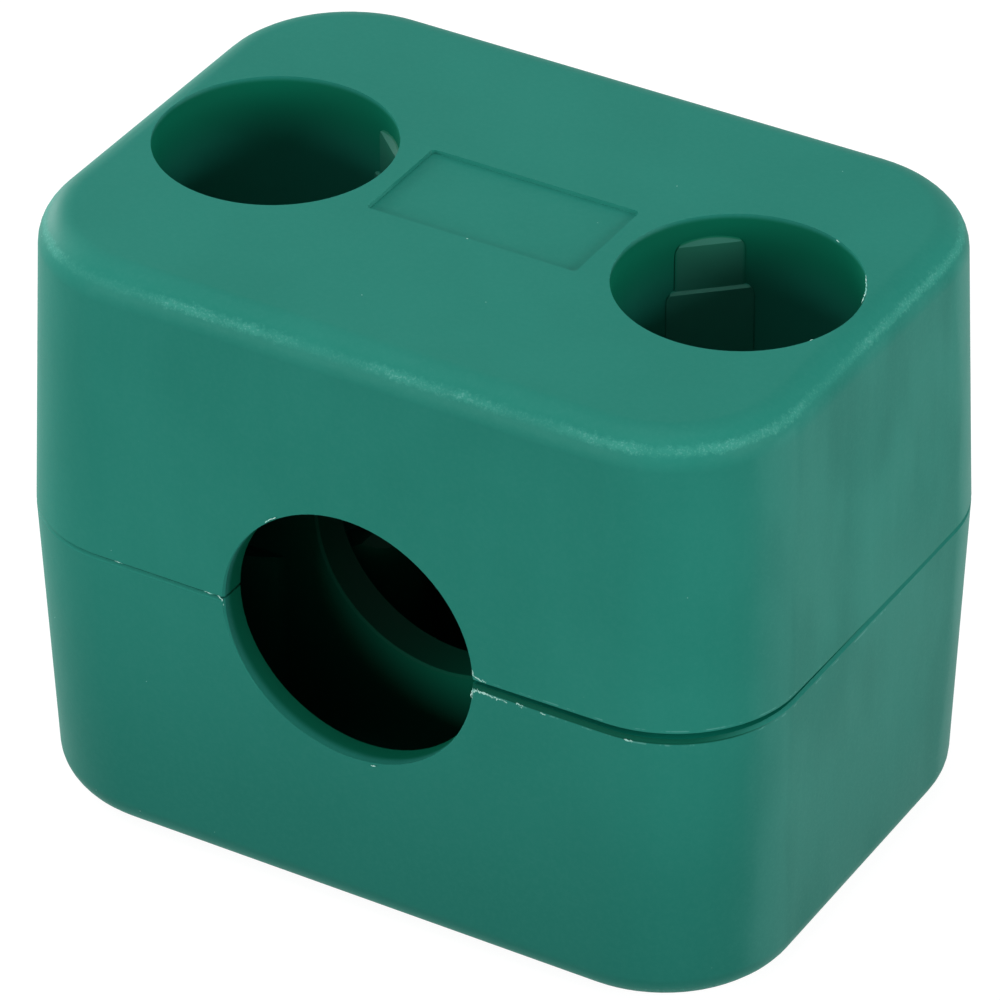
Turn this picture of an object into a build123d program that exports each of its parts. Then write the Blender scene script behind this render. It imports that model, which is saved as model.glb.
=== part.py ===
from build123d import *

import os
from math import atan2, degrees, hypot, radians, sin, sqrt

# Two-piece moulded clamp body for one hydraulic tube, light series, 14 mm tube, 26 mm bolt spacing.
#
# The clamp is a stack of two identical green polypropylene mouldings that meet at a parting plane. Each is a thin
# walled, cored half: a drafted shell with a rounded crown, two deep wells for the bolt heads, a sleeve round each
# bolt hole, and two cross ribs. End walls and ribs are cut to the tube's radius, so that they carry the tube.
#
# Frame: millimetres, +Z up, origin at the middle of the base. X runs through the two bolts and Y along the tube.

# Shell of one half
body_length = 42.0
body_width = 30.0
half_height = 16.5
corner_radius = 6.5  # plan corner at the parting plane
draft_angle = 1.2  # degrees, on every outer side
crown_rounding = 1.8
parting_edge = 0.15  # chamfer round the parting plane
wall = 1.5
roof = 1.8

# Stand-off of the upper half: it touches the lower one along a diagonal and opens toward one corner
corner_lift = 0.4  # gap at the corner +X, -Y

# Tube seat
tube_radius = 7.0
clamp_gap = 0.08  # how much nearer the two seats are than a full circle, so that the bolts grip the tube
seat_edge = 0.12  # chamfer on each edge that the tube passes

# Bolts
bolt_spacing = 26.0
well_radius = 6.15
well_depth = 11.0
well_floor = 2.3
bolt_hole_radius = 3.5
sleeve_wall = 1.5

# Cross ribs
rib_offset = 5.35  # from the middle of the body to the middle of a rib, along Y
rib_thickness = 2.1

# Stepped flats on the wall of a well, where a rib meets it from behind
flat_angle = 48.0  # degrees from the line of the bolts to the middle of a flat
flat_corner = 0.8  # radius of a flat's upper corners
upper_flat_width = 3.5
upper_flat_top = 1.5  # below the crown
upper_flat_proud = 0.3
lower_flat_width = 4.4
lower_flat_top = 4.1  # below the crown
lower_flat_proud = 0.48
flat_slope = 0.3  # height of the sloping top of a flat

# Sunken panel in the crown
panel_length = 11.7
panel_width = 6.3
panel_depth = 0.22
panel_corner = 0.25

# How far a cutting tool runs past the face it leaves
run_out = 1.0

half_turn = 180.0


def outer_block():
    """The outside of the half, with its rounded crown and its broken edge at the parting plane.

    One end is shaped and mirrored, so that both ends match.
    """
    outline = RectangleRounded(body_length, body_width, corner_radius)
    block = extrude(outline, half_height, taper=draft_angle)
    end = split(block, Plane.YZ)
    crown_edges = end.faces().sort_by(Axis.Z)[-1].edges().sort_by(Axis.X)[1:]
    end = fillet(crown_edges, crown_rounding)
    parting_edges = end.faces().sort_by(Axis.Z)[0].edges().sort_by(Axis.X)[1:]
    end = chamfer(parting_edges, parting_edge)
    return end + mirror(end, Plane.YZ)


def core():
    """The space that the mould's core leaves inside the shell, open at the parting plane."""
    outline = RectangleRounded(body_length - 2 * wall, body_width - 2 * wall, corner_radius - wall)
    return extrude(outline, half_height - roof)


def upright(radius, low, high, x=0.0):
    """A vertical cylinder between two heights."""
    return Pos(x, 0, low) * Cylinder(radius, high - low, align=(Align.CENTER, Align.CENTER, Align.MIN))


def bolt_places():
    """The X of each bolt, left then right."""
    return (-bolt_spacing / 2, bolt_spacing / 2)


def well_bottom():
    """Height of the seat that a bolt head's washer rests on."""
    return half_height - well_depth


def inner_structure():
    """Well walls, bolt sleeves and cross ribs, before the tube and the bolts are cut."""
    top = half_height - roof / 2
    pieces = []
    for x in bolt_places():
        pieces.append(upright(well_radius + wall, well_bottom() - well_floor, top, x))
        pieces.append(upright(bolt_hole_radius + sleeve_wall, 0, top, x))
    for side in (-1, 1):
        rib = Box(body_length, rib_thickness, top, align=(Align.CENTER, Align.CENTER, Align.MIN))
        pieces.append(Pos(0, side * rib_offset, 0) * rib)
    return pieces


def tube_cutter():
    """A turned tool along Y: the tube's own radius, wider by a chamfer at each rib's and wall's outward face."""
    half_width = body_width / 2
    rib_face = rib_offset + rib_thickness / 2
    middle_of_pocket = (rib_face + half_width - wall) / 2
    wide = tube_radius + seat_edge
    stations = [
        (rib_face - seat_edge, tube_radius),
        (rib_face, wide),
        (middle_of_pocket, wide),
        (middle_of_pocket, tube_radius),
        (half_width - seat_edge, tube_radius),
        (half_width, wide),
        (half_width + run_out, wide),
    ]
    mirrored = [(-y, r) for y, r in reversed(stations)]
    reach = half_width + run_out
    profile = Polyline(*mirrored, *stations, (reach, 0), (-reach, 0), close=True)
    turned = revolve(make_face(profile), Axis.X)
    return Pos(0, 0, -clamp_gap / 2) * Rot(0, 0, 90) * turned


def well_cutter(x):
    """One well, and the bolt hole below it."""
    well = upright(well_radius, well_bottom(), half_height + run_out, x)
    hole = upright(bolt_hole_radius, -run_out, half_height, x)
    return well + hole


def stepped_flat(width, top, proud):
    """One flat on the +X side of a well that stands on the Z axis, seen here before it is turned to its place."""
    crest = half_height - top
    base = well_bottom() - well_floor / 2
    face = well_radius - proud
    back = well_radius + wall / 2
    profile = Polyline(
        (face, base),
        (back, base),
        (back, crest + flat_slope),
        (well_radius, crest + flat_slope),
        (face, crest),
        close=True,
    )
    slab = extrude(Plane.XZ * make_face(profile), width / 2, both=True)
    height = crest + flat_slope - base
    front = Rectangle(width, height, align=(Align.CENTER, Align.MIN))
    front = fillet(front.vertices().group_by(Axis.Y)[-1], flat_corner)
    arch = extrude(Plane.YZ * (Pos(0, base) * front), back)
    return slab & arch


def stepped_flats(x, side):
    """Two flats, one above the other, on the inward wall of a well and toward one cross rib."""
    sizes = (
        (upper_flat_width, upper_flat_top, upper_flat_proud),
        (lower_flat_width, lower_flat_top, lower_flat_proud),
    )
    turn = flat_angle if x < 0 else half_turn - flat_angle
    return [Pos(x, 0, 0) * Rot(0, 0, side * turn) * stepped_flat(*size) for size in sizes]


def panel_cutter():
    """The sunken panel in the middle of the crown."""
    outline = RectangleRounded(panel_length, panel_width, panel_corner)
    return Pos(0, 0, half_height - panel_depth) * extrude(outline, panel_depth + run_out)


def lift_cutter():
    """A tool whose top tilts up from the diagonal of the plan toward the corner +X, -Y."""
    diagonal = degrees(atan2(body_width - corner_radius, body_length - corner_radius))
    reach = hypot(body_length, body_width) / 2 - corner_radius * (sqrt(2) - 1)
    across = reach * sin(radians(2 * diagonal))
    tilt = degrees(atan2(corner_lift, across))
    size = body_length + body_width
    slab = Box(size, size, half_height, align=(Align.CENTER, Align.CENTER, Align.MAX))
    return Rot(0, 0, diagonal) * Rot(-tilt, 0, 0) * slab


def clamp_half():
    """One moulding, with its parting face at Z = 0 and its crown up."""
    block = outer_block()
    body = block - core()
    for piece in inner_structure():
        body += piece & block
    for x in bolt_places():
        body -= well_cutter(x)
    for x in bolt_places():
        for side in (-1, 1):
            for flat in stepped_flats(x, side):
                body += flat
    body -= tube_cutter()
    for x in bolt_places():
        body -= upright(bolt_hole_radius, -run_out, half_height, x)
    body -= panel_cutter()
    return body


def main():
    """Stacks the two halves and writes one file for each."""
    os.makedirs("parts", exist_ok=True)
    half = clamp_half().solid()
    lifted = (half - lift_cutter()).solid()
    halves = {
        "upper_half": Pos(0, 0, half_height) * lifted,
        "lower_half": Pos(0, 0, half_height) * Rot(180, 0, 0) * half,
    }
    for name, shape in halves.items():
        export_step(shape, f"parts/{name}.step")


main()
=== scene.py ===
"""Looks of a two-piece hydraulic tube clamp moulded in green polypropylene.

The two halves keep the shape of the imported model, but for slightly rounder upright corners. This file
dresses them in one procedural finish, adds the thin flash that the mould leaves along its parting edges, and
sets up the studio.

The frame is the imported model's, in metres: origin at the middle of the base, X from bolt to bolt, Y along the
tube with the front face at -Y, Z up. Each class says where its own sizes are in millimetres.
"""

import logging
import math
from dataclasses import dataclass
from enum import Enum
from typing import Any

import bmesh
import bpy
import numpy as np
from mathutils import Matrix, Vector


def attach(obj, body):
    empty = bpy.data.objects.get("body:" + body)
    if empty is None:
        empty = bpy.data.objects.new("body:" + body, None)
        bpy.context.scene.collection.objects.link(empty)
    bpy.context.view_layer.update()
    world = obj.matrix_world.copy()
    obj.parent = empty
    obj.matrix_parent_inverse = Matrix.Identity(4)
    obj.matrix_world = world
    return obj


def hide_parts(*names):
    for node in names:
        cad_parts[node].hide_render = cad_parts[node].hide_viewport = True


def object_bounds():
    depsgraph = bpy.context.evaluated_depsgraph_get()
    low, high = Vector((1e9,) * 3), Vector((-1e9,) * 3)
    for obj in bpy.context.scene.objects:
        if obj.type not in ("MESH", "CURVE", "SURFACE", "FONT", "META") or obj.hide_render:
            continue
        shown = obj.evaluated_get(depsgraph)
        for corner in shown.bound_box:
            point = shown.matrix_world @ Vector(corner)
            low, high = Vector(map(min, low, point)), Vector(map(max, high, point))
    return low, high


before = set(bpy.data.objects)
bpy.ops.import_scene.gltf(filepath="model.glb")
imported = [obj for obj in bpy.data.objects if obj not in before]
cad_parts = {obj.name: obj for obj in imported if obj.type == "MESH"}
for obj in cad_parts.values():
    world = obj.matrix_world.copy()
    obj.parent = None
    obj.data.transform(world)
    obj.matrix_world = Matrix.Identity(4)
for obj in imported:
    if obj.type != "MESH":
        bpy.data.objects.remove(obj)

CAD_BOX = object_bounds()
MM = 0.001

logging.basicConfig(level=logging.INFO, format="%(message)s")
log = logging.getLogger("tube_clamp")

Number = float | int
Pair = tuple[float, float]
Triple = tuple[float, float, float]
WHITE: Triple = (1.0, 1.0, 1.0)


@dataclass(frozen=True)
class ClampSizes:
    """Sizes that the halves, their finish and their flash share, in millimetres.

    Attributes:
        half_length: From the middle to an end, as packed, to a tenth of a millimetre.
        half_width: From the middle to the front face, as packed, to a tenth of a millimetre.
        half_height: From the parting plane to the crown, as packed, to a tenth of a millimetre.
        draft: Lean of the sides, in degrees.
        well_at: From the middle to a bolt's axis.
        well_radius: Radius of a bolt's well.
        well_depth: Depth of a bolt's well.
        tube_radius: Radius of the tube that the clamp holds.
        corner_lift: How far the upper half stands off the lower one at the front right corner.
    """

    half_length: float = round(CAD_BOX[1][0] / MM, 1)
    half_width: float = round(CAD_BOX[1][1] / MM, 1)
    half_height: float = round(CAD_BOX[1][2] / MM / 2, 1)
    draft: float = 1.2
    well_at: float = 13.0
    well_radius: float = 6.15
    well_depth: float = 11.0
    tube_radius: float = 7.0
    corner_lift: float = 0.4

    @property
    def slope(self) -> float:
        """How far a side leans in for each millimetre away from the parting plane."""
        return math.tan(math.radians(self.draft))


# ----------------------------------------------------------------------------------------------------------
# Shader maths
# ----------------------------------------------------------------------------------------------------------


class Shade:
    """A value that is worked out in a node tree, with Python's operators for its maths."""

    def __init__(self, graph: "Graph", socket: Any) -> None:
        """Wraps one output socket.

        Args:
            graph: The graph that owns the socket.
            socket: The output socket that carries the value.
        """
        self.graph = graph
        self.socket = socket

    def _math(self, operation: str, *values: "Shade | Number") -> "Shade":
        """Adds a Math node and returns its result."""
        return self.graph.add("ShaderNodeMath", {"operation": operation}, dict(enumerate(values)))

    def __add__(self, other: "Shade | Number") -> "Shade":
        """Sum."""
        return self._math("ADD", self, other)

    __radd__ = __add__

    def __sub__(self, other: "Shade | Number") -> "Shade":
        """Difference."""
        return self._math("SUBTRACT", self, other)

    def __rsub__(self, other: Number) -> "Shade":
        """Difference, with a plain number first."""
        return self._math("SUBTRACT", other, self)

    def __mul__(self, other: "Shade | Number") -> "Shade":
        """Product."""
        return self._math("MULTIPLY", self, other)

    __rmul__ = __mul__

    def __truediv__(self, other: "Shade | Number") -> "Shade":
        """Quotient."""
        return self._math("DIVIDE", self, other)

    def __pow__(self, other: "Shade | Number") -> "Shade":
        """Power."""
        return self._math("POWER", self, other)

    def __abs__(self) -> "Shade":
        """The value without its sign."""
        return self._math("ABSOLUTE", self)

    def least(self, other: "Shade | Number") -> "Shade":
        """The smaller of two values."""
        return self._math("MINIMUM", self, other)

    def most(self, other: "Shade | Number") -> "Shade":
        """The larger of two values."""
        return self._math("MAXIMUM", self, other)

    def ramp(self, low: Number, high: Number) -> "Shade":
        """Rises from 0 at low to 1 at high, eased in and out, and stays there on both sides.

        Args:
            low: Value that gives 0.
            high: Value that gives 1. It may be less than low.

        Returns:
            The rise, from 0 to 1.
        """
        settings = {"interpolation_type": "SMOOTHSTEP", "clamp": True}
        limits = {"From Min": min(low, high), "From Max": max(low, high)}
        rise = self.graph.add("ShaderNodeMapRange", settings, {"Value": self, **limits})
        return 1.0 - rise if high < low else rise


@dataclass(frozen=True)
class Pattern:
    """A smooth noise over the surface, and how it is spread between 0 and 1.

    Attributes:
        size: Size of its largest lumps, in millimetres.
        detail: Octaves.
        rough: How strong each finer octave is.
        low: Value of the noise that is spread to 0.
        high: Value of the noise that is spread to 1.
        stretch: Factors on X, Y and Z. A factor below 1 draws the lumps out that way.
    """

    size: float
    detail: float
    rough: float
    low: float = 0.0
    high: float = 1.0
    stretch: Triple | None = None

    def spread(self, noise: Shade) -> Shade:
        """The noise, spread from its low and high values to 0 and 1."""
        return noise.ramp(self.low, self.high)


class Cell(Enum):
    """What a pattern of cells gives, by the name of its output."""

    DISTANCE = "Distance"
    COLOUR = "Color"


class Graph:
    """Builds the nodes of one material or world."""

    def __init__(self, owner: Any) -> None:
        """Empties the owner's node tree.

        Args:
            owner: A material or a world.
        """
        owner.use_nodes = True
        self.owner = owner
        self.tree = owner.node_tree
        self.tree.nodes.clear()

    def add(
        self, kind: str, settings: dict[str, Any], inputs: dict[Any, Any], output: int | str = 0
    ) -> Shade:
        """Adds a node of any type.

        Args:
            kind: The node's type name.
            settings: Properties of the node, set before its sockets.
            inputs: Socket name or index to a Shade or to a plain value.
            output: Which output to return.

        Returns:
            The chosen output.
        """
        node = self.tree.nodes.new(kind)
        for name, value in settings.items():
            setattr(node, name, value)
        for name, value in inputs.items():
            if isinstance(value, Shade):
                self.tree.links.new(value.socket, node.inputs[name])
            elif isinstance(value, tuple) and len(value) == 3 and node.inputs[name].type == "RGBA":
                node.inputs[name].default_value = (*value, 1.0)
            else:
                node.inputs[name].default_value = value
        return Shade(self, node.outputs[output]) if len(node.outputs) else Shade(self, None)

    def position(self) -> Shade:
        """Object coordinates, in metres."""
        return self.add("ShaderNodeTexCoord", {}, {}, "Object")

    def parts(self, vector: Shade) -> tuple[Shade, Shade, Shade]:
        """The three parts of a vector."""
        split = self.add("ShaderNodeSeparateXYZ", {}, {"Vector": vector})
        outputs = split.socket.node.outputs
        return Shade(self, outputs["X"]), Shade(self, outputs["Y"]), Shade(self, outputs["Z"])

    def noise(self, where: Shade, pattern: Pattern) -> Shade:
        """A pattern's noise, from 0 to 1, before it is spread.

        Args:
            where: Position, in metres.
            pattern: Its size and character.

        Returns:
            The noise.
        """
        if pattern.stretch is not None:
            multiply = {"operation": "MULTIPLY"}
            where = self.add("ShaderNodeVectorMath", multiply, {0: where, 1: pattern.stretch})
        scale = 1.0 / (pattern.size * MM)
        values = {"Vector": where, "Scale": scale, "Detail": pattern.detail, "Roughness": pattern.rough}
        return self.add("ShaderNodeTexNoise", {}, values)

    def cells(self, where: Shade, size: Number, output: Cell) -> Shade:
        """Cells round scattered points.

        Args:
            where: Position, in metres.
            size: Mean distance between the points, in millimetres.
            output: The distance to the nearest point, in cells, or that point's random colour.

        Returns:
            The chosen output.
        """
        values = {"Vector": where, "Scale": 1.0 / (size * MM)}
        return self.add("ShaderNodeTexVoronoi", {}, values, output.value)

    def mix(self, factor: Shade | Number, first: Shade | Triple, second: Shade | Triple) -> Shade:
        """A colour between two others.

        Args:
            factor: 0 for the first colour and 1 for the second.
            first: The first colour.
            second: The second colour.

        Returns:
            The colour between them.
        """
        factor_input, first_input, second_input, colour_output = 0, 6, 7, 2
        colours = {factor_input: factor, first_input: first, second_input: second}
        return self.add("ShaderNodeMix", {"data_type": "RGBA"}, colours, colour_output)

    def bump(self, height: Shade, depth: Number, strength: Number, over: Shade | None = None) -> Shade:
        """A normal that follows a height map.

        Args:
            height: The height, from 0 to 1.
            depth: What a height of 1 means, in millimetres.
            strength: How much of the relief shows.
            over: A normal that this relief is laid over.

        Returns:
            The new normal.
        """
        inputs: dict[Any, Any] = {"Height": height, "Distance": depth * MM, "Strength": strength}
        if over is not None:
            inputs["Normal"] = over
        return self.add("ShaderNodeBump", {}, inputs)

    def seen(self) -> Shade:
        """Whether light goes from here to the eye.

        Returns:
            1 for what the camera sees, also in a reflection or through glass. 0 for what only gives light.
        """
        camera, glossy, through = (
            self.add("ShaderNodeLightPath", {}, {}, name)
            for name in ("Is Camera Ray", "Is Glossy Ray", "Is Transmission Ray")
        )
        return camera.most(glossy).most(through)

    def finish(self, shader: Shade) -> None:
        """Sends a shader to the tree's output."""
        of_world = isinstance(self.owner, bpy.types.World)
        kind = "ShaderNodeOutputWorld" if of_world else "ShaderNodeOutputMaterial"
        self.add(kind, {}, {"Surface": shader})


# ----------------------------------------------------------------------------------------------------------
# Finishes
# ----------------------------------------------------------------------------------------------------------


@dataclass(frozen=True)
class Scar:
    """A torn mark on the front face: a stroke between two places, each X and height over the parting plane.

    Attributes:
        start: Where it starts, in millimetres like all lengths here.
        end: Where it ends.
        width: How far it reaches to each side.
    """

    start: Pair
    end: Pair
    width: float


@dataclass(frozen=True)
class Spot:
    """What the finish can tell about one place on a half.

    Attributes:
        where: Object coordinates, in metres.
        across: Place from bolt to bolt, in millimetres.
        along: Place along the tube, in millimetres.
        above: Height over the parting plane, in millimetres.
        from_middle: Distance from the parting plane, in millimetres.
        normal: The three parts of the normal.
        inside: Depth below the sides, in millimetres.
        depth: Depth below the crown or the base, in millimetres.
        from_bolt: Distance to the nearer bolt's axis, in millimetres.
        share: Place on the diagonal along which the halves drift apart, 1 at the front right corner.
    """

    where: Shade
    across: Shade
    along: Shade
    above: Shade
    from_middle: Shade
    normal: tuple[Shade, Shade, Shade]
    inside: Shade
    depth: Shade
    from_bolt: Shade
    share: Shade


def length_of(first: Shade, second: Shade) -> Shade:
    """Length of the vector with two given parts."""
    return (first * first + second * second) ** 0.5


@dataclass(frozen=True)
class MouldedPolypropylene:
    """Satin green polypropylene from a finely eroded mould. Lengths are in millimetres.

    Attributes:
        name: The material's name.
        clamp: The sizes that the finish goes by.
        mean_corner: Radius of the upright corners halfway up a half.
        green: The plain colour.
        deep: What the clouds turn it to, and the painted light that the deeper walls of the wells turn back to.
        low: Painted shade that the sides turn to low down, and that the ends turn to outside the sink marks.
        frost_and_sheen: Where the surface was rubbed into scuffs or stretched, and also the painted sheen on
            the ends and the painted glints along the rounded edges.
        dust: Specks and torn edges.
        recess_shade: Painted shade on the walls of wells, and on any wall behind the skin.
        cavity_shade: Painted shade in the bore and the cored inside.
        flat_highlight: Painted highlight on the flats in the wells.
        sheen: The rounded edges where they catch light.
        groove_shade: Painted shade inside the groove at the parting plane.
        shaded: Under the groove.
        roughness: Mean roughness.
        gloss: Level of the highlights.
        refraction: Index of refraction.
        clouds: Slow clouds of colour.
        streaks: Streaks where the melt ran up the sides.
        sinks: Paler sink marks on the ends, partly painted sheen, that break up the painted shade there.
        sand: Sandy scuffs on the ends.
        mottle: Fine mottle all over.
        ridge_break: Unevenness of the edges of the painted highlight line.
        grains: Grains along that line: painted glints, partly frosting.
        patches: Where that painted highlight line is strong or weak.
        tearing: Where the lips of the groove are torn.
        wobble: How the torn marks sway.
        fray: Ragged edges of the torn marks.
        texture: Eroded texture of the mould.
        peel: Orange peel.
        waves: Slow waves.
        texture_height: Height of the eroded texture.
        peel_height: Height of the orange peel.
        wave_height: Height of the waves.
        scars: The torn marks on the front face.
    """

    name: str = "green_polypropylene"
    clamp: ClampSizes = ClampSizes()
    mean_corner: float = 6.9

    # Colours
    green: Triple = (0.0200, 0.204, 0.158)
    deep: Triple = (0.0155, 0.183, 0.140)
    low: Triple = (0.0120, 0.142, 0.110)
    frost_and_sheen: Triple = (0.115, 0.36, 0.31)
    dust: Triple = (0.42, 0.72, 0.64)
    recess_shade: Triple = (0.0020, 0.108, 0.061)
    cavity_shade: Triple = (0.0012, 0.075, 0.042)
    flat_highlight: Triple = (0.036, 0.160, 0.120)
    sheen: Triple = (0.060, 0.340, 0.265)
    groove_shade: Triple = (0.004, 0.190, 0.130)
    shaded: Triple = (0.0012, 0.072, 0.044)

    # Gloss
    roughness: float = 0.47
    gloss: float = 0.055
    refraction: float = 1.49

    # Patterns in the colour
    clouds: Pattern = Pattern(9.0, 3.0, 0.55, 0.30, 0.70)
    streaks: Pattern = Pattern(1.3, 4.0, 0.55, 0.30, 0.70, (1.0, 1.0, 0.12))
    sinks: Pattern = Pattern(6.5, 2.0, 0.50, 0.36, 0.62, (1.0, 1.3, 0.55))
    sand: Pattern = Pattern(0.16, 2.0, 0.70, 0.45, 0.75)
    mottle: Pattern = Pattern(0.30, 3.0, 0.75, 0.38, 0.72)
    ridge_break: Pattern = Pattern(0.28, 3.0, 0.70)
    grains: Pattern = Pattern(0.12, 2.0, 0.70, 0.50, 0.66)
    patches: Pattern = Pattern(3.2, 2.0, 0.60, 0.34, 0.60)
    tearing: Pattern = Pattern(0.9, 3.0, 0.70, 0.50, 0.60)
    wobble: Pattern = Pattern(0.16, 2.0, 0.65)
    fray: Pattern = Pattern(0.085, 2.0, 0.70, 0.30, 0.70)

    # Relief
    texture: Pattern = Pattern(0.11, 3.0, 0.60)
    peel: Pattern = Pattern(0.55, 2.0, 0.50)
    waves: Pattern = Pattern(6.5, 1.0, 0.40, stretch=(1.0, 1.0, 0.45))
    texture_height: float = 0.0035
    peel_height: float = 0.010
    wave_height: float = 0.10

    scars: tuple[Scar, ...] = (
        Scar((7.01, 0.82), (7.11, 0.54), 0.050),
        Scar((7.11, 0.54), (7.32, 0.45), 0.070),
        Scar((7.32, 0.45), (7.80, 0.43), 0.050),
        Scar((6.96, -0.86), (7.01, -0.42), 0.070),
        Scar((7.01, -0.40), (7.28, -0.27), 0.090),
        Scar((7.28, -0.27), (8.20, -0.30), 0.080),
        Scar((8.20, -0.30), (8.95, -0.36), 0.070),
        Scar((9.50, -0.27), (9.80, -0.29), 0.070),
        Scar((10.80, -0.29), (11.05, -0.31), 0.060),
        Scar((15.40, -0.26), (15.75, -0.26), 0.060),
    )

    def build(self) -> bpy.types.Material:
        """Makes the material, one layer over another.

        Returns:
            The material.
        """
        material = bpy.data.materials.new(self.name)
        g = Graph(material)
        spot = self.spot(g)
        clouds = g.noise(spot.where, self.clouds)
        streaks = g.noise(spot.where, self.streaks)
        texture = g.noise(spot.where, self.texture)
        edge_sheen, glints_and_frost = self.edge_highlight(g, spot)
        colour = self.melt(g, spot, clouds, streaks)
        colour = self.end_shade_and_scuffs(g, spot, streaks, colour)
        # Painted highlight along the rounded edges.
        colour = g.mix(edge_sheen, colour, self.sheen)
        # Painted glints along that highlight, partly frosting.
        colour = g.mix(glints_and_frost, colour, self.frost_and_sheen)
        colour = self.hollow_shade_and_highlights(g, spot, colour)
        colour = self.parted(g, spot, colour)
        colour = g.mix(self.scarred(g, spot) * 0.9, colour, self.dust)
        colour = g.mix(self.specks(g, spot), colour, self.dust)
        shader = g.add(
            "ShaderNodeBsdfPrincipled",
            {},
            {
                "Base Color": colour,
                "Roughness": self.roughness + (clouds - 0.5) * 0.10 + (texture - 0.5) * 0.12 + edge_sheen * 0.2,
                "IOR": self.refraction,
                "Specular IOR Level": self.gloss,
                "Normal": self.relief(g, spot, texture),
            },
        )
        g.finish(shader)
        return material

    def spot(self, g: Graph) -> Spot:
        """Works out where on the half a place is.

        The outline is a rectangle with rounded corners that shrinks away from the parting plane by the draft.
        With past_x and past_y as the distances past the centres of the corner arcs, the depth below the sides
        is the corner radius, less the length of what is past them, less the larger of the two where both are
        short of them.

        Args:
            g: The graph.

        Returns:
            The place.
        """
        size = self.clamp
        where = g.position()
        x, y, z = g.parts(where)
        across, along, above = x * (1.0 / MM), y * (1.0 / MM), z * (1.0 / MM) - size.half_height
        from_middle = abs(above)
        drawn_in = from_middle * size.slope
        past_x = abs(across) - (size.half_length - self.mean_corner) + drawn_in
        past_y = abs(along) - (size.half_width - self.mean_corner) + drawn_in
        past = length_of(past_x.most(0.0), past_y.most(0.0))
        return Spot(
            where=where,
            across=across,
            along=along,
            above=above,
            from_middle=from_middle,
            normal=g.parts(g.add("ShaderNodeNewGeometry", {}, {}, "Normal")),
            inside=self.mean_corner - past - past_x.most(past_y).least(0.0),
            depth=size.half_height - from_middle,
            from_bolt=length_of(abs(across) - size.well_at, along),
            share=across * (0.5 / size.half_length) - along * (0.5 / size.half_width),
        )

    def melt(self, g: Graph, spot: Spot, clouds: Shade, streaks: Shade) -> Shade:
        """The plain colour: slow clouds, streaks where the melt ran up the sides, and painted shade that
        darkens the sides low down.

        Args:
            g: The graph.
            spot: The place.
            clouds: Noise of the clouds.
            streaks: Noise of the streaks.

        Returns:
            The colour.
        """
        cloud_share, streak_share, low_shade_share = 0.6, 0.2, 0.85
        side = abs(spot.normal[2]).ramp(0.5, 0.15)
        tone = self.clouds.spread(clouds) * cloud_share + self.streaks.spread(streaks) * side * streak_share
        colour = g.mix(tone, self.deep, self.green)
        # Painted shade: the sides darken towards the bottom.
        return g.mix(spot.above.ramp(2.0, -17.0) * side * low_shade_share, colour, self.low)

    def end_shade_and_scuffs(self, g: Graph, spot: Spot, streaks: Shade, colour: Shade) -> Shade:
        """Painted shade over the two ends, broken by faint paler sink marks, scuffs and streaks that are partly
        painted sheen, a painted sheen where the corners turn onto the ends, and a fine mottle all over.

        Args:
            g: The graph.
            spot: The place.
            streaks: Noise of the streaks.
            colour: The colour so far.

        Returns:
            The new colour.
        """
        end_shade_share, sink_pale, sand_pale, streak_pale = 0.45, 0.06, 0.06, 0.03
        turn_sheen, mottle_pale = 0.12, 0.035
        facing_x, facing_y = abs(spot.normal[0]), abs(spot.normal[1])
        end = facing_x.ramp(0.80, 0.97)
        turn = facing_x.ramp(0.86, 0.97) * facing_y.ramp(0.02, 0.14)
        sinks = self.sinks.spread(g.noise(spot.where, self.sinks))
        sand = self.sand.spread(g.noise(spot.where, self.sand))
        mottle = self.mottle.spread(g.noise(spot.where, self.mottle))
        pale = sinks * sink_pale + sand * sand_pale + streaks.ramp(0.45, 0.75) * streak_pale
        # Painted shade: the ends darken outside the sink marks.
        colour = g.mix(end * (1.0 - sinks) * end_shade_share, colour, self.low)
        # Paler sink marks, scuffs and streaks on the ends, partly a painted sheen.
        colour = g.mix(end * pale, colour, self.frost_and_sheen)
        # Painted sheen where the rounded corners turn onto the ends.
        colour = g.mix(turn * turn_sheen, colour, self.frost_and_sheen)
        return g.mix(mottle * mottle_pale, colour, self.frost_and_sheen)

    def edge_highlight(self, g: Graph, spot: Spot) -> tuple[Shade, Shade]:
        """Painted highlight along the rounded edges of the crown and the base, broken into patches and into
        grains that are partly painted glints and partly frosting.

        Args:
            g: The graph.
            spot: The place.

        Returns:
            How much of the painted sheen shows, and how much of the grains of painted glints and frosting.
        """
        height = self.clamp.half_height
        rounded = spot.from_middle.ramp(height - 2.2, height - 1.4)
        steep = abs(spot.normal[2]) + (g.noise(spot.where, self.ridge_break) - 0.5) * 0.30
        # The painted highlight line lies where the normal reaches a given slope on the rounding.
        edge_highlight = rounded * steep.ramp(0.44, 0.58) * steep.ramp(0.76, 0.62)
        grains = self.grains.spread(g.noise(spot.where, self.grains))
        patches = self.patches.spread(g.noise(spot.where, self.patches))
        return edge_highlight * (0.10 + patches * 0.26), edge_highlight * grains * (0.14 + patches * 0.42)

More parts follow.
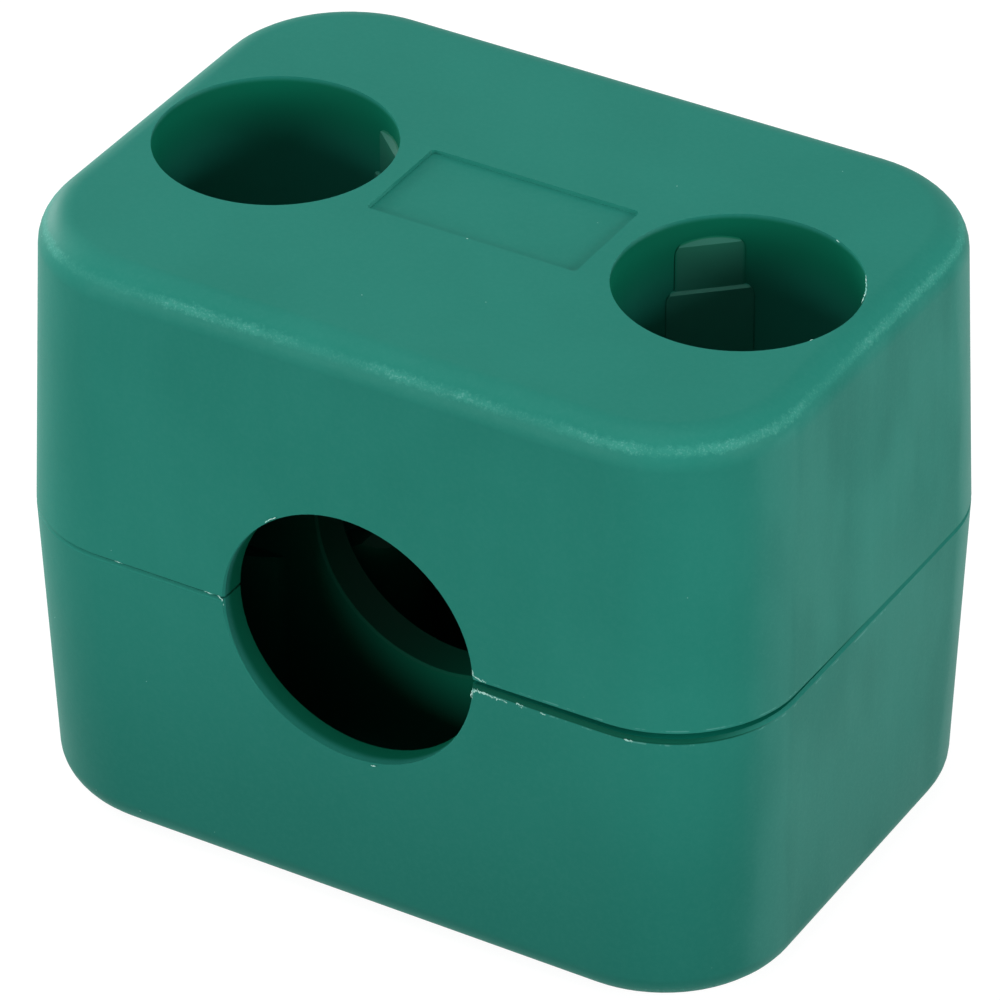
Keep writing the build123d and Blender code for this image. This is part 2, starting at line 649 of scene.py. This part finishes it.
    def hollow_shade_and_highlights(self, g: Graph, spot: Spot, colour: Shade) -> Shade:
        """Painted shade turns walls that little light reaches deep and saturated, painted light eases it deeper
        in the wells, and the flats in the wells get a painted highlight.

        Args:
            g: The graph.
            spot: The place.
            colour: The colour so far.

        Returns:
            The new colour.
        """
        radius, floor = self.clamp.well_radius, self.clamp.well_depth
        flat_inner, flat_share, flat_top_share, well_light_share = 5.0, 0.42, 0.40, 0.6
        in_well = spot.from_bolt.ramp(radius + 0.12, radius + 0.06)
        behind_side = spot.inside.ramp(0.2, 0.7) * spot.depth.ramp(3.0, 5.0)
        cored = spot.inside.least(spot.depth).ramp(1.6, 6.0) * (1.0 - in_well * 0.95)
        # Painted shade on the walls of the wells and on walls behind the sides.
        colour = g.mix((in_well * spot.depth.ramp(0.02, 0.35)).most(behind_side), colour, self.recess_shade)
        # Painted shade, darker still, deep in the bore and the cored inside.
        colour = g.mix(cored, colour, self.cavity_shade)
        # Painted light: deeper down the wells the walls turn back from the painted shade towards the deep
        # green.
        colour = g.mix(in_well * spot.depth.ramp(1.5, 5.0) * well_light_share, colour, self.deep)
        # Painted highlight on the flats in the wells, brighter on their upward tops.
        proud = spot.from_bolt.ramp(radius - 0.04, radius - 0.09)
        flat = proud * spot.from_bolt.ramp(flat_inner - 0.1, flat_inner + 0.1)
        flat = flat * spot.depth.ramp(floor + 0.5, 4.0) * spot.depth.ramp(0.8, 1.2)
        top = spot.normal[2].ramp(0.3, 0.7)
        return g.mix(flat * (flat_share + top * flat_top_share), colour, self.flat_highlight)

    def parted(self, g: Graph, spot: Spot, colour: Shade) -> Shade:
        """The groove at the parting plane: painted shade of deep green inside, a painted shaded band below, and
        pale torn lips.

        Args:
            g: The graph.
            spot: The place.
            colour: The colour so far.

        Returns:
            The new colour.
        """
        lip_rise, lip_pale = 0.17, 0.55
        opening = spot.share.ramp(0.30, 0.50)
        seat = abs(spot.normal[2]).ramp(0.80, 0.95)
        inner = opening * spot.from_middle.ramp(0.60, 0.50) * seat * spot.inside.ramp(2.0, 1.0)
        front = abs(spot.normal[1]).ramp(0.15, 0.60)
        band = opening * spot.from_middle.ramp(0.27, 0.20) * (1.0 - seat) * front
        torn = self.tearing.spread(g.noise(spot.where, self.tearing))
        lower_lip = spot.above.ramp(-0.36, -0.31) * spot.above.ramp(-0.22, -0.27)
        from_upper_lip = abs(spot.above - spot.share * self.clamp.corner_lift - lip_rise)
        upper_lip = from_upper_lip.ramp(0.040, 0.015) * spot.share.ramp(0.6, 0.8)
        # Painted shade of deep green on the faces inside the groove.
        colour = g.mix(inner, colour, self.groove_shade)
        # Painted shade on the band under the groove.
        colour = g.mix(band, colour, self.shaded)
        return g.mix(lower_lip.most(upper_lip) * opening * torn * lip_pale, colour, self.frost_and_sheen)

    def scarred(self, g: Graph, spot: Spot) -> Shade:
        """Torn marks on the front face, each a short stroke with a ragged edge.

        The distance to a stroke is the length of what is left when the nearest place on it is taken away.

        Args:
            g: The graph.
            spot: The place.

        Returns:
            1 on a mark, 0 elsewhere.
        """
        sway, bob, edge = 0.15, 0.36, 0.012
        wobble = g.noise(spot.where, self.wobble) - 0.5
        fray = self.fray.spread(g.noise(spot.where, self.fray))
        across, up = spot.across + wobble * sway, spot.above + wobble * bob
        marks: Shade | None = None
        for scar in self.scars:
            run, rise = scar.end[0] - scar.start[0], scar.end[1] - scar.start[1]
            past_x, past_z = across - scar.start[0], up - scar.start[1]
            nearest = ((past_x * run + past_z * rise) / (run * run + rise * rise)).most(0.0).least(1.0)
            away = length_of(past_x - nearest * run, past_z - nearest * rise)
            mark = (away - fray * scar.width).ramp(edge, -edge)
            marks = mark if marks is None else marks.most(mark)
        face = -self.clamp.half_width
        return marks * spot.along.ramp(face + 1.0, face + 0.5)

    def specks(self, g: Graph, spot: Spot) -> Shade:
        """Dust and nicks: small pale dots, few and far between, and still smaller ones among them.

        Args:
            g: The graph.
            spot: The place.

        Returns:
            1 on a dot, 0 elsewhere.
        """
        coarse = self.dots(g, spot.where, spacing=2.2, radius=0.050, empty=0.84)
        fine = self.dots(g, spot.where, spacing=0.9, radius=0.028, empty=0.86)
        return coarse.most(fine * 0.7)

    def dots(self, g: Graph, where: Shade, spacing: Number, radius: Number, empty: Number) -> Shade:
        """Scattered dots: the cells of a Voronoi pattern whose own random value passes a limit.

        Args:
            g: The graph.
            where: Position.
            spacing: Mean distance between cells.
            radius: Size of a dot.
            empty: Share of the cells left empty.

        Returns:
            1 on a dot, 0 elsewhere.
        """
        near = g.cells(where, spacing, Cell.DISTANCE)
        chance, other, _ = g.parts(g.cells(where, spacing, Cell.COLOUR))
        size = (radius / spacing) * (0.5 + other)
        return chance.ramp(empty, empty + 0.01) * (near / size).ramp(1.0, 0.6)

    def relief(self, g: Graph, spot: Spot, texture: Shade) -> Shade:
        """Slow waves, orange peel over them, and the eroded texture over both.

        Args:
            g: The graph.
            spot: The place.
            texture: Noise of the eroded texture.

        Returns:
            The normal.
        """
        relief = g.bump(g.noise(spot.where, self.waves), self.wave_height, 0.30)
        relief = g.bump(g.noise(spot.where, self.peel), self.peel_height, 0.5, relief)
        return g.bump(texture, self.texture_height, 0.8, relief)


@dataclass(frozen=True)
class TornPolypropylene:
    """Thin torn flash, stretched until it turned pale.

    Attributes:
        name: The material's name.
        thin: Colour of the thin places.
        thick: Colour of the thick places.
        roughness: Roughness of the thick places.
        refraction: Index of refraction.
        patches: Where it is thin.
        creases: Relief of the torn surface.
        crease_height: Height of that relief, in millimetres.
    """

    name: str = "torn_polypropylene"
    thin: Triple = (0.55, 0.82, 0.75)
    thick: Triple = (0.12, 0.46, 0.38)
    roughness: float = 0.5
    refraction: float = 1.49
    patches: Pattern = Pattern(0.35, 2.0, 0.60, 0.35, 0.65)
    creases: Pattern = Pattern(0.10, 2.0, 0.60)
    crease_height: float = 0.01

    def build(self) -> bpy.types.Material:
        """Makes the material.

        Returns:
            The material.
        """
        material = bpy.data.materials.new(self.name)
        g = Graph(material)
        where = g.position()
        patches = self.patches.spread(g.noise(where, self.patches))
        shader = g.add(
            "ShaderNodeBsdfPrincipled",
            {},
            {
                "Base Color": g.mix(patches, self.thick, self.thin),
                "Roughness": self.roughness + patches * 0.1,
                "IOR": self.refraction,
                "Normal": g.bump(g.noise(where, self.creases), self.crease_height, 0.6),
            },
        )
        g.finish(shader)
        return material


# ----------------------------------------------------------------------------------------------------------
# Pieces
# ----------------------------------------------------------------------------------------------------------


class Half(Enum):
    """The two halves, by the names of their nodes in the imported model."""

    UPPER = "upper_half"
    LOWER = "lower_half"


@dataclass
class MouldedHalf:
    """One half of the clamp, as moulded: its plan corners are tighter at the parting plane than at the crown.

    Attributes:
        node: Name of its node.
        clamp: The sizes that it shares with the rest.
        packed_corner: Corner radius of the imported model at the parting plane, in millimetres like all lengths
            here.
        parting_corner: Wanted corner radius at the parting plane.
        crown_corner: Wanted corner radius at the crown or the base.
        skin: Depth below the sides to which a corner is redrawn.
        roof: Height from the parting plane past which all of a corner is redrawn.
        weld: Distance below which two vertices are one.
        crease: Angle in degrees past which an edge stays sharp.
    """

    node: str
    clamp: ClampSizes = ClampSizes()
    packed_corner: float = 6.5
    parting_corner: float = 6.64
    crown_corner: float = 7.24
    skin: float = 1.35
    roof: float = 14.75
    weld: float = 0.001
    crease: float = 32.0

    def build(self, material: bpy.types.Material) -> bpy.types.Object:
        """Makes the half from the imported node.

        Args:
            material: Its finish.

        Returns:
            The finished piece.
        """
        mesh = self.merged()
        points = np.empty(len(mesh.vertices) * 3)
        mesh.vertices.foreach_get("co", points)
        mesh.vertices.foreach_set("co", self.corners(points.reshape(-1, 3)).ravel())
        mesh.polygons.foreach_set("use_smooth", np.ones(len(mesh.polygons), bool))
        mesh.set_sharp_from_angle(angle=math.radians(self.crease))
        mesh.update()
        mesh.materials.clear()
        mesh.materials.append(material)
        piece = bpy.data.objects.new(mesh.name, mesh)
        bpy.context.scene.collection.objects.link(piece)
        weighted = piece.modifiers.new("weighted_normals", "WEIGHTED_NORMAL")
        weighted.mode = "FACE_AREA"
        weighted.keep_sharp = True
        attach(piece, "root")
        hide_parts(self.node)
        return piece

    def merged(self) -> bpy.types.Mesh:
        """A copy of the node's mesh with its triangles joined and its stored normals and creases dropped.

        Returns:
            The copy.
        """
        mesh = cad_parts[self.node].data.copy()
        mesh.name = self.node + "_moulding"
        for name in {"custom_normal", "sharp_edge", "sharp_face"} & set(mesh.attributes.keys()):
            mesh.attributes.remove(mesh.attributes[name])
        shape = bmesh.new()
        shape.from_mesh(mesh)
        bmesh.ops.remove_doubles(shape, verts=shape.verts, dist=self.weld * MM)
        shape.to_mesh(mesh)
        shape.free()
        return mesh

    def corners(self, points: np.ndarray) -> np.ndarray:
        """Moves the skin at the four upright corners.

        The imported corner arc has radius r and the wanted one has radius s, and both touch the same two sides.
        A point at angle t on the arc moves by (r - s) times (1 - cos t, 1 - sin t) away from the middle.

        Args:
            points: Places in metres, one row each.

        Returns:
            The moved places.
        """
        slack, least_radius = 1e-4, 0.5
        x, y = points[:, 0] / MM, points[:, 1] / MM
        height = np.abs(points[:, 2] / MM - self.clamp.half_height)
        across = np.abs(x) - (self.clamp.half_length - self.packed_corner)
        along = np.abs(y) - (self.clamp.half_width - self.packed_corner)
        radius = np.hypot(across, along)
        turn = np.arctan2(np.maximum(along, 0.0), np.maximum(across, 0.0))
        packed = self.packed_corner - height * self.clamp.slope
        growth = (self.crown_corner - self.parting_corner) / self.clamp.half_height
        wanted = self.parting_corner + growth * height
        outer = (radius > packed - self.skin) | (height > self.roof)
        moving = (across > -slack) & (along > -slack) & outer & (radius > least_radius)
        change = np.where(moving, packed - wanted, 0.0)
        moved = points.copy()
        moved[:, 0] += np.sign(x) * change * (1 - np.cos(turn)) * MM
        moved[:, 1] += np.sign(y) * change * (1 - np.sin(turn)) * MM
        return moved


@dataclass
class TornEdge:
    """A shred of flash that runs along an edge, with a ragged width.

    Attributes:
        name: Name of the piece.
        route: Places that it passes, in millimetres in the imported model's frame.
        width: Its full width, in millimetres like all lengths here.
        thickness: Its thickness.
        outward: The way that the edge's face looks.
        seed: Seed of its random width.
        step: Distance between its rings of points.
        least_rings: The fewest rings.
        around: Points in a ring.
        narrowest: Share of the width that is always there.
        wander: How far the shred strays from its route, as a share of its width.
        bluntness: Power of the taper at its ends. A lower one is blunter.
    """

    name: str
    route: tuple[Triple, ...]
    width: float
    thickness: float = 0.05
    outward: Triple = (0.0, -1.0, 0.0)
    seed: int = 1
    step: float = 0.02
    least_rings: int = 8
    around: int = 10
    narrowest: float = 0.25
    wander: float = 0.5
    bluntness: float = 0.4

    def ragged(self, count: int, random: np.random.Generator) -> np.ndarray:
        """Uneven values along the shred: random numbers smoothed over a short and a long window and added.

        Args:
            count: How many values.
            random: Where the random numbers come from.

        Returns:
            Values from 0 to 1.
        """
        short, long, margin, long_share = 3, 9, 8, 2.0
        rough = random.random(count + 2 * margin)
        fine = np.convolve(rough, np.ones(short) / short, "same")[margin:-margin]
        broad = np.convolve(rough, np.ones(long) / long, "same")[margin:-margin]
        mixed = fine + long_share * broad
        return (mixed - mixed.min()) / np.ptp(mixed)

    def surface(self) -> np.ndarray:
        """The shred as a grid of points.

        A point is the route at u, plus across times half the ragged width times cos v, plus outward times
        half the thickness times sin v. Both sizes get small at the ends, which a last face closes.

        Returns:
            Points in metres, one row along the route and one column around it.
        """
        route = np.array(self.route)
        spans = np.linalg.norm(np.diff(route, axis=0), axis=1)
        at = np.concatenate([[0.0], np.cumsum(spans)])
        count = max(int(at[-1] / self.step), self.least_rings)
        u = np.linspace(0.0, at[-1], count)
        random = np.random.default_rng(self.seed)
        centre = np.stack([np.interp(u, at, route[:, axis]) for axis in range(3)], axis=1)
        outward = np.array(self.outward) / np.linalg.norm(self.outward)
        across = np.cross(np.gradient(centre, axis=0), outward)
        across /= np.linalg.norm(across, axis=1)[:, None]
        taper = np.sin(np.pi * np.linspace(0.01, 0.99, count)) ** self.bluntness
        uneven = self.narrowest + (1.0 - self.narrowest) * self.ragged(count, random)
        half = 0.5 * self.width * taper * uneven
        stray = (self.ragged(count, random) - 0.5) * self.wander * self.width
        centre = centre + across * stray[:, None]
        v = np.linspace(0.0, 2.0 * np.pi, self.around, endpoint=False)
        flat = across[:, None, :] * (half[:, None] * np.cos(v))[:, :, None]
        thick = outward * (0.5 * self.thickness * taper[:, None] * np.sin(v))[:, :, None]
        return (centre[:, None, :] + flat + thick) * MM

    def build(self, material: bpy.types.Material) -> bpy.types.Object:
        """Makes the shred.

        Args:
            material: Its finish.

        Returns:
            The finished piece.
        """
        points = self.surface()
        rows, columns = points.shape[:2]
        index = np.arange(rows * columns).reshape(rows, columns)
        here, beyond = index[:-1], index[1:]
        faces = np.stack([here, np.roll(here, -1, 1), np.roll(beyond, -1, 1), beyond], axis=2).reshape(-1, 4)
        ends = [index[0, ::-1].tolist(), index[-1].tolist()]
        mesh = bpy.data.meshes.new(self.name)
        mesh.from_pydata(points.reshape(-1, 3).tolist(), [], faces.tolist() + ends)
        mesh.materials.append(material)
        mesh.update()
        piece = bpy.data.objects.new(self.name, mesh)
        bpy.context.scene.collection.objects.link(piece)
        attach(piece, "root")
        return piece


@dataclass
class Flash:
    """All the shreds of flash, along the parting plane, the bore's edge and a well's rim.

    Attributes:
        clamp: The sizes that they share with the rest.
        front_inset: How far the middle of a shred lies behind the front face, in millimetres like all lengths
            here.
        crown_inset: How far the middle of a shred lies below the crown.
        bore_clearance: How far the shreds on the bore's edge lie outside the tube.
        rim_overhang: How far the shreds on the well's rim stand into the well.
    """

    clamp: ClampSizes = ClampSizes()
    front_inset: float = 0.045
    crown_inset: float = 0.025
    bore_clearance: float = 0.06
    rim_overhang: float = 0.04

    def on_front(self, *places: Pair) -> tuple[Triple, ...]:
        """A route on the front face, from X and height above the parting plane."""
        front = self.front_inset - self.clamp.half_width
        return tuple((x, front, self.clamp.half_height + height) for x, height in places)

    def on_bore(self, *degrees: float) -> tuple[Triple, ...]:
        """A route along the bore's front edge.

        Args:
            degrees: Angles counted from +X.

        Returns:
            The route.
        """
        radius = self.clamp.tube_radius + self.bore_clearance
        turns = [math.radians(value) for value in degrees]
        return self.on_front(*[(radius * math.cos(t), radius * math.sin(t)) for t in turns])

    def on_well(self, *degrees: float) -> tuple[Triple, ...]:
        """A route along the rim of the right-hand well.

        Args:
            degrees: Angles counted from +X.

        Returns:
            The route.
        """
        radius = self.clamp.well_radius - self.rim_overhang
        crown = 2 * self.clamp.half_height - self.crown_inset
        turns = [math.radians(value) for value in degrees]
        return tuple((self.clamp.well_at + radius * math.cos(t), radius * math.sin(t), crown) for t in turns)

    def along_gap(self) -> list[TornEdge]:
        """The shreds along the parting line on the front face.

        Returns:
            The shreds, not built yet.
        """
        curl = self.on_front((7.00, 0.72), (7.10, 0.50), (7.28, 0.40), (7.62, 0.34))
        fringe = self.on_front(
            (6.96, -0.80), (7.00, -0.42), (7.16, -0.27), (7.70, -0.31), (8.20, -0.26), (8.90, -0.33)
        )
        burr = self.on_front((-8.5, 0.16), (-7.9, 0.12), (-7.4, 0.16), (-7.12, -0.05), (-7.06, -0.35))
        return [
            TornEdge("upper_curl", curl, 0.11, seed=2),
            TornEdge("lower_fringe", fringe, 0.17, seed=3),
            TornEdge("lower_fringe_end", self.on_front((9.45, -0.24), (9.85, -0.29)), 0.11, seed=4),
            TornEdge("lower_speck", self.on_front((10.75, -0.26), (11.05, -0.30)), 0.10, seed=5),
            TornEdge("lower_speck_far", self.on_front((15.35, -0.20), (15.70, -0.22)), 0.09, seed=6),
            TornEdge("upper_thread", self.on_front((13.2, 0.52), (13.9, 0.55)), 0.035, 0.03, seed=7),
            TornEdge("left_burr", burr, 0.11, seed=8),
            TornEdge("left_thread", self.on_front((-13.4, 0.12), (-12.9, 0.10)), 0.06, seed=9),
        ]

    def round_bore(self) -> list[TornEdge]:
        """The nicks on the bore's front edge."""
        return [
            TornEdge("bore_nick_left", self.on_bore(130.0, 127.0, 123.5), 0.09, seed=10),
            TornEdge("bore_nick_low", self.on_bore(-80.0, -77.5), 0.08, seed=11),
        ]

    def round_well(self) -> list[TornEdge]:
        """The sliver and the nicks on the right-hand well's rim.

        Returns:
            The shreds, not built yet.
        """
        up, thin = (0.0, 0.0, 1.0), 0.04
        return [
            TornEdge("well_sliver", self.on_well(12.0, 20.0, 28.0, 36.0), 0.09, thin, up, seed=12),
            TornEdge("well_nick", self.on_well(66.0, 68.5), 0.07, thin, up, seed=13),
            TornEdge("well_nick_front", self.on_well(-28.0, -26.0), 0.06, thin, up, seed=14),
        ]

    def build(self, material: bpy.types.Material) -> list[bpy.types.Object]:
        """Makes every shred.

        Args:
            material: Their finish.

        Returns:
            The finished pieces.
        """
        shreds = self.along_gap() + self.round_bore() + self.round_well()
        return [shred.build(material) for shred in shreds]


# ----------------------------------------------------------------------------------------------------------
# Studio
# ----------------------------------------------------------------------------------------------------------


@dataclass(frozen=True)
class Lamp:
    """A soft lamp with a flat face.

    Attributes:
        name: Its name.
        where: Its place, in metres.
        size: Width and height of its face, in metres.
        power: Its power, in watts.
    """

    name: str
    where: Triple
    size: Pair
    power: float

    def build(self, aim: Vector) -> None:
        """Makes the lamp.

        Args:
            aim: The point that it faces.
        """
        data = bpy.data.lights.new(self.name, "AREA")
        data.shape = "RECTANGLE"
        data.size, data.size_y = self.size
        data.energy = self.power
        lamp = bpy.data.objects.new(self.name, data)
        lamp.location = self.where
        lamp.rotation_euler = (aim - Vector(self.where)).to_track_quat("-Z", "Y").to_euler()
        bpy.context.scene.collection.objects.link(lamp)


@dataclass
class Studio:
    """Pale floor, white surroundings, soft lamps and the camera.

    Two low lamps light the sides that show, one behind the left edge, and a broad one hangs overhead.

    Attributes:
        azimuth: Degrees from the front face toward the right end, to the camera.
        elevation: Degrees above the floor, to the camera.
        roll: Degrees that the camera is turned about its own axis.
        distance: Metres from the middle of the part to the camera.
        lens: Focal length in millimetres.
        shift: Shift of the lens, as shares of the picture.
        floor_size: Side of the floor, in metres.
        floor_gap: Metres between the floor and the base, so that the two don't share a plane.
        floor_colour: The floor as a surface that light falls on.
        floor_glow: What is added where the floor is seen, to bring it near white.
        fill: Strength of the surroundings as a light.
        lamps: The lamps.
        aim: Height of the point that they face, in metres.
    """

    azimuth: float = 30.47
    elevation: float = 33.95
    roll: float = -0.14
    distance: float = 0.350
    lens: float = 253.2
    shift: Pair = (-0.0039, -0.0081)
    floor_size: float = 3.0
    floor_gap: float = 0.0001
    floor_colour: Triple = (0.16, 0.16, 0.16)
    floor_glow: float = 0.93
    fill: float = 0.14
    lamps: tuple[Lamp, ...] = (
        Lamp("front", (-0.18, -0.50, 0.14), (0.40, 0.20), 2.12),
        Lamp("right", (0.53, -0.02, 0.17), (0.40, 0.20), 2.35),
        Lamp("left", (-0.50, 0.16, 0.12), (0.30, 0.20), 2.2),
        Lamp("top", (-0.05, -0.05, 0.55), (0.40, 0.40), 1.55),
    )
    aim: float = 0.016

    def build(self) -> None:
        """Makes the floor, the surroundings, the lamps and the camera."""
        self.floor()
        self.surroundings()
        for lamp in self.lamps:
            lamp.build(Vector((0.0, 0.0, self.aim)))
        self.camera()
        bpy.context.scene.view_settings.view_transform = "Standard"

    def floor(self) -> None:
        """A flat square just under the part: near white where it is seen, and darker in the part's shadow."""
        half = self.floor_size / 2
        under = CAD_BOX[0][2] - self.floor_gap
        corners = [(-half, -half, under), (half, -half, under), (half, half, under), (-half, half, under)]
        mesh = bpy.data.meshes.new("floor")
        mesh.from_pydata(corners, [], [(0, 1, 2, 3)])
        material = bpy.data.materials.new("floor")
        g = Graph(material)
        lit = g.add("ShaderNodeBsdfDiffuse", {}, {"Color": self.floor_colour})
        glow = g.add("ShaderNodeEmission", {}, {"Color": WHITE, "Strength": self.floor_glow})
        both = g.add("ShaderNodeAddShader", {}, {0: lit, 1: glow})
        g.finish(g.add("ShaderNodeMixShader", {}, {0: g.seen(), 1: lit, 2: both}))
        mesh.materials.append(material)
        floor = bpy.data.objects.new("floor", mesh)
        bpy.context.scene.collection.objects.link(floor)

    def surroundings(self) -> None:
        """White surroundings, at full strength where they are seen and softer where they light the part."""
        world = bpy.data.worlds.new("surroundings")
        bpy.context.scene.world = world
        g = Graph(world)
        strength = self.fill + g.seen() * (1.0 - self.fill)
        g.finish(g.add("ShaderNodeBackground", {}, {"Color": WHITE, "Strength": strength}))

    def camera(self) -> None:
        """The camera, at the end of a line at the azimuth and elevation from the middle of the part."""
        azimuth, elevation, roll = (math.radians(v) for v in (self.azimuth, self.elevation, self.roll))
        right = Vector((math.cos(azimuth), math.sin(azimuth), 0.0))
        level = Vector((math.sin(azimuth), -math.cos(azimuth), 0.0))
        back = level * math.cos(elevation) + Vector((0.0, 0.0, math.sin(elevation)))
        up = back.cross(right)
        rolled_right = right * math.cos(roll) + up * math.sin(roll)
        rolled_up = up * math.cos(roll) - right * math.sin(roll)
        middle = Vector((0.0, 0.0, (CAD_BOX[0][2] + CAD_BOX[1][2]) / 2))
        data = bpy.data.cameras.new("camera")
        data.lens = self.lens
        data.shift_x, data.shift_y = self.shift
        camera = bpy.data.objects.new("camera", data)
        axes = Matrix((rolled_right, rolled_up, back)).transposed().to_4x4()
        camera.matrix_world = Matrix.Translation(middle + back * self.distance) @ axes
        bpy.context.scene.collection.objects.link(camera)
        bpy.context.scene.camera = camera


def main() -> None:
    """Builds everything in order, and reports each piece."""
    body = MouldedPolypropylene().build()
    pieces = [MouldedHalf(half.value).build(body) for half in Half]
    pieces += Flash().build(TornPolypropylene().build())
    for piece in pieces:
        log.info("built %s with %d faces", piece.name, len(piece.data.polygons))
    Studio().build()


if __name__ == "__main__":
    main()
